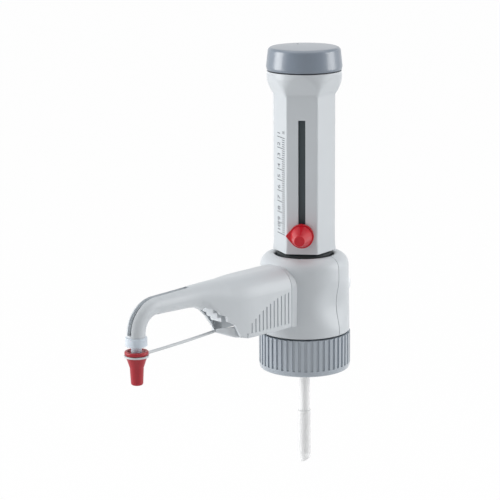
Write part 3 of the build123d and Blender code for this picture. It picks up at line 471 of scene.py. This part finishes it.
# ---------------------------------------------------------------- thread inside the collar
THREAD_ROOT, THREAD_CREST, THREAD_PITCH = 22.85, 21.9, 4.0
THREAD_LOW, THREAD_TURNS, THREAD_STEPS = 1.6, 2.3, 72
THREAD_FADE = 10  # steps over which each end runs out
ROOT_HALF, CREST_HALF = 1.0, 0.45
SHADE_THREAD = 50.0
vertices = []
total = int(THREAD_TURNS * THREAD_STEPS)
for k in range(total + 1):
    angle = 2 * math.pi * k / THREAD_STEPS
    fade = min(1.0, k / THREAD_FADE, (total - k) / THREAD_FADE)
    crest = THREAD_ROOT - (THREAD_ROOT - THREAD_CREST) * fade
    middle = THREAD_LOW + THREAD_PITCH * k / THREAD_STEPS
    section = ((THREAD_ROOT, -ROOT_HALF), (crest, -CREST_HALF), (crest, CREST_HALF),
               (THREAD_ROOT, ROOT_HALF))
    for radius, rise in section:
        vertices.append((radius * math.cos(angle), radius * math.sin(angle), middle + rise))
thread = put("bottle_thread_ridge", vertices, tube_faces(total + 1, len(section)), COLLAR_LIT_SLATE, "collar")
shade(thread, SHADE_THREAD)

# ---------------------------------------------------------------- strap between the clip and the cap
STRAP_RADIUS = 0.9
STRAP_START, STRAP_END = Vector((-72.0, 0.0, 36.2)), Vector((-128.9, 0.0, 33.7))
STRAP_SAG = 0.35
STRAP_STEPS, STRAP_SIDES = 40, 14
STRAP_FLAT, STRAP_ROUND_FROM = 0.35, 1 / 12.0  # how flat its root is, and the share of its length for that
SHADE_STRAP = 60.0
vertices = []
for k in range(STRAP_STEPS + 1):
    share = k / STRAP_STEPS
    middle = STRAP_START.lerp(STRAP_END, share)
    middle.z -= STRAP_SAG * math.sin(math.pi * share)
    flat = 1.0 - STRAP_FLAT * max(0.0, 1.0 - share / STRAP_ROUND_FROM)
    for edge in range(STRAP_SIDES):
        angle = 2 * math.pi * edge / STRAP_SIDES
        vertices.append((middle.x, STRAP_RADIUS * math.cos(angle) / flat,
                         middle.z + STRAP_RADIUS * flat * math.sin(angle)))
strap = put("strap_bar", vertices, tube_faces(STRAP_STEPS + 1, STRAP_SIDES), STRAP_WHITE, None)
shade(strap, SHADE_STRAP)
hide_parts("strap_arm")
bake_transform(strap)

# ---------------------------------------------------------------- clip tray at the strap's root
TRAY_STATIONS = 18
TRAY_WALL = 1.1
TRAY_NEAR, TRAY_FAR = 74.8, 61.0  # reach of its narrow end, and of the end inside the spout
TRAY_NARROW, TRAY_WIDE = 1.6, 9.6
TRAY_BOTTOM_NEAR, TRAY_BOTTOM_FAR = 35.4, 31.2
TRAY_TOP_NEAR, TRAY_TOP_FAR = 37.3, 39.8
TRAY_FLARE, TRAY_LIFT = 1.7, 0.7  # how soon it widens, and how its rim rises
TRAY_CORNER, TRAY_INNER_CORNER = 1.5, 0.8
TRAY_OUTER_STEPS, TRAY_INNER_STEPS = 5, 4


def tray_section(share):
    """The tray's U-shaped section as (y, height) points, a closed loop."""
    spread = math.sin(min(1.0, share * TRAY_FLARE) * math.pi / 2)
    half = TRAY_NARROW + (TRAY_WIDE - TRAY_NARROW) * spread
    bottom = TRAY_BOTTOM_NEAR + (TRAY_BOTTOM_FAR - TRAY_BOTTOM_NEAR) * math.sin(share * math.pi / 2)
    top = TRAY_TOP_NEAR + (TRAY_TOP_FAR - TRAY_TOP_NEAR) * share ** TRAY_LIFT
    corner = min(TRAY_CORNER, half * 0.6)
    inside = half - min(TRAY_WALL, half * 0.5)
    lower = bottom + min(TRAY_WALL, (top - bottom) * 0.5)
    inner_corner = min(TRAY_INNER_CORNER, inside * 0.5)

    def bend(side, radius, floor_height, start, end, steps):
        """A rounded lower corner of the section whose upright stands at y = side."""
        shift_y = side - math.copysign(radius, side)
        return [(y + shift_y, z) for y, z in arc((0.0, floor_height + radius), radius, start, end, steps)]

    return ([(-half, top)] + bend(-half, corner, bottom, 180, 270, TRAY_OUTER_STEPS)
            + bend(half, corner, bottom, 270, 360, TRAY_OUTER_STEPS) + [(half, top), (inside, top)]
            + bend(inside, inner_corner, lower, 0, -90, TRAY_INNER_STEPS)
            + bend(-inside, inner_corner, lower, 270, 180, TRAY_INNER_STEPS) + [(-inside, top)])


vertices = []
for k in range(TRAY_STATIONS + 1):
    share = k / TRAY_STATIONS
    reach = TRAY_NEAR + (TRAY_FAR - TRAY_NEAR) * share
    vertices += [(-reach, y, height) for y, height in tray_section(share)]
faces = tube_faces(TRAY_STATIONS + 1, len(tray_section(0.0)))
tray = put("strap_tray", vertices, faces, SHADED_INSERT_WHITE, "valve_block")
shade(tray, SHADE_MOULDING)
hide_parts("strap_clip")

# ---------------------------------------------------------------- notched insert in the spout's opening
INSERT_NEAR_SIDE, INSERT_FAR_SIDE = -5.6, 3.4  # along Y
INSERT_EDGE, INSERT_EDGE_STEPS = 0.3, 2
SHADE_INSERT = 30.0
INSERT_OUTLINE = [(84.0, 55.2), (84.0, 51.6), (81.8, 51.4), (81.4, 48.4), (78.6, 48.2), (78.2, 45.2),
                  (75.4, 45.0), (75.0, 42.2), (73.4, 42.2), (73.4, 55.2)]  # (reach, height): four steps
vertices = [(-reach, y, height) for y in (INSERT_NEAR_SIDE, INSERT_FAR_SIDE)
            for reach, height in INSERT_OUTLINE]
insert = put("notched_insert", vertices, tube_faces(2, len(INSERT_OUTLINE)), SHADED_INSERT_WHITE, "valve_block")
bevel = insert.modifiers.new("edge", "BEVEL")
bevel.width = INSERT_EDGE * MM
bevel.segments = INSERT_EDGE_STEPS
bevel.limit_method = "ANGLE"
shade(insert, SHADE_INSERT)
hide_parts("spout_insert")

# ---------------------------------------------------------------- volume scale printed on the sleeve
SCALE_FACET = math.radians(158.0)
SCALE_DISTANCE = 16.0
SCALE_PROUD = 0.04
TEN_HEIGHT, ONE_HEIGHT = 83.4, 141.0
MAJOR_STEPS, MINOR_STEPS = 9, 5
MAJOR_PITCH = (ONE_HEIGHT - TEN_HEIGHT) / MAJOR_STEPS
LINE_WEIGHT = 0.42
LONG_TICK, SHORT_TICK = (-3.2, 7.5), (3.6, 7.5)
FIGURE_SIZE, FIGURE_LEFT, FIGURE_RISE, FIGURE_TOP = 5.2, -3.9, 0.9, 0.9
UNIT_SIZE, UNIT_LEFT, UNIT_RISE = 3.2, 4.0, 2.4
CURVE_STEPS = 4
outward = Vector((math.cos(SCALE_FACET), math.sin(SCALE_FACET), 0.0))
along = Vector((-outward.y, outward.x, 0.0))
if along.dot(right) < 0:
    along = -along


def on_facet(x, height, proud):
    """A place on the scale's facet, x to the right as seen from outside, in metres."""
    place = outward * (SCALE_DISTANCE + proud) + along * x
    return Vector((place.x, place.y, height)) * MM


print_mesh = bmesh.new()


def tick(first, last, height):
    """One graduation line, a thin bar standing just proud of the facet."""
    corners = []
    for proud in (-SCALE_PROUD, SCALE_PROUD):
        for x, z in ((first, height - LINE_WEIGHT / 2), (last, height - LINE_WEIGHT / 2),
                     (last, height + LINE_WEIGHT / 2), (first, height + LINE_WEIGHT / 2)):
            corners.append(print_mesh.verts.new(on_facet(x, z, proud)))
    for side in ((0, 1, 2, 3), (7, 6, 5, 4), (0, 4, 5, 1), (1, 5, 6, 2), (2, 6, 7, 3), (3, 7, 4, 0)):
        print_mesh.faces.new([corners[k] for k in side])


def figure(words, x, height, size, upright):
    """Figures as thin raised outlines; not upright, they read upwards along the scale."""
    curve = bpy.data.curves.new("figure", "FONT")
    curve.body = words
    curve.size = size
    curve.extrude = SCALE_PROUD
    curve.resolution_u = CURVE_STEPS
    carrier = bpy.data.objects.new("figure", curve)
    bpy.context.scene.collection.objects.link(carrier)
    bpy.context.view_layer.update()
    shape = bpy.data.meshes.new_from_object(carrier)
    glyphs = bmesh.new()
    glyphs.from_mesh(shape)
    vertex_of = {}
    for vertex in glyphs.verts:
        u, v, lift = vertex.co
        place = on_facet(x + u, height + v, lift) if upright else on_facet(x - v, height + u, lift)
        vertex_of[vertex] = print_mesh.verts.new(place)
    for face in glyphs.faces:
        print_mesh.faces.new([vertex_of[vertex] for vertex in face.verts])
    glyphs.free()
    bpy.data.objects.remove(carrier)
    bpy.data.curves.remove(curve)
    bpy.data.meshes.remove(shape)


for major in range(MAJOR_STEPS + 1):
    height = ONE_HEIGHT - MAJOR_PITCH * major
    tick(*LONG_TICK, height)
    figure(str(major + 1), FIGURE_LEFT + FIGURE_SIZE * FIGURE_TOP, height + FIGURE_RISE, FIGURE_SIZE, False)
    if major < MAJOR_STEPS:
        for minor in range(1, MINOR_STEPS):
            tick(*SHORT_TICK, height - MAJOR_PITCH * minor / MINOR_STEPS)
figure("ml", UNIT_LEFT, ONE_HEIGHT + UNIT_RISE, UNIT_SIZE, True)
bmesh.ops.recalc_face_normals(print_mesh, faces=print_mesh.faces)
mesh = bpy.data.meshes.new("scale_marks")
print_mesh.to_mesh(mesh)
print_mesh.free()
mesh.materials.append(PRINT)
scale_marks = bpy.data.objects.new("scale_marks", mesh)
bpy.context.scene.collection.objects.link(scale_marks)
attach(scale_marks, "head")
